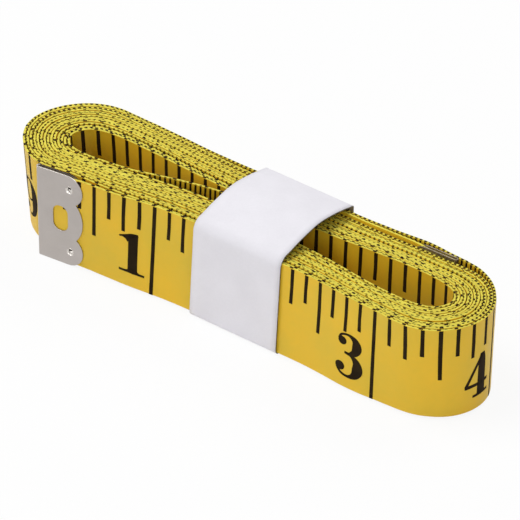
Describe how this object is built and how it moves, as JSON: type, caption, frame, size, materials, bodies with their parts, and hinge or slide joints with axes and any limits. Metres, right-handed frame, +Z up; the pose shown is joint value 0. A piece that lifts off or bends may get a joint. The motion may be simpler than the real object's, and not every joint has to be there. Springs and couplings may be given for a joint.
{
  "type": "cloth tape measure",
  "caption": "Flat yellow cloth tape measure with metal ends, folded in half, rolled up on its edge and held by a white paper band that slides along it.",
  "frame": {"origin": "on the surface that the rolled tape rests on, below the middle of its box", "axes": "+X along the roll's length, to the right with the free metal end in front at the left; +Z up, across the tape's width; the front faces -Y"},
  "size_m": [0.1019, 0.0272, 0.0226],
  "materials": {
    "tape": "coated woven cloth, satin, printed in dark brown ink",
    "tip": "satin nickel plate",
    "paper": "smooth white paper, matt",
    "glue": "dried paper glue"
  },
  "bodies": {
    "roll": {"tape_roll": "tape", "far_end_tip": "tip"},
    "band": {"paper_band": "paper", "band_glue_strip": "glue"},
    "free_end": {"tape_free_end": "tape", "zero_end_tip": "tip"}
  },
  "joints": [
    {"name": "band_slide", "type": "slide", "parent": "roll", "child": "band", "axis": [1, 0, 0], "range_m": [-0.005, 0.003]},
    {"name": "free_end_peel", "type": "hinge", "parent": "roll", "child": "free_end", "pos_m": [-0.01341, -0.00965, 0.01002], "axis": [0, 0, 1], "range_deg": [0, 80]}
  ]
}
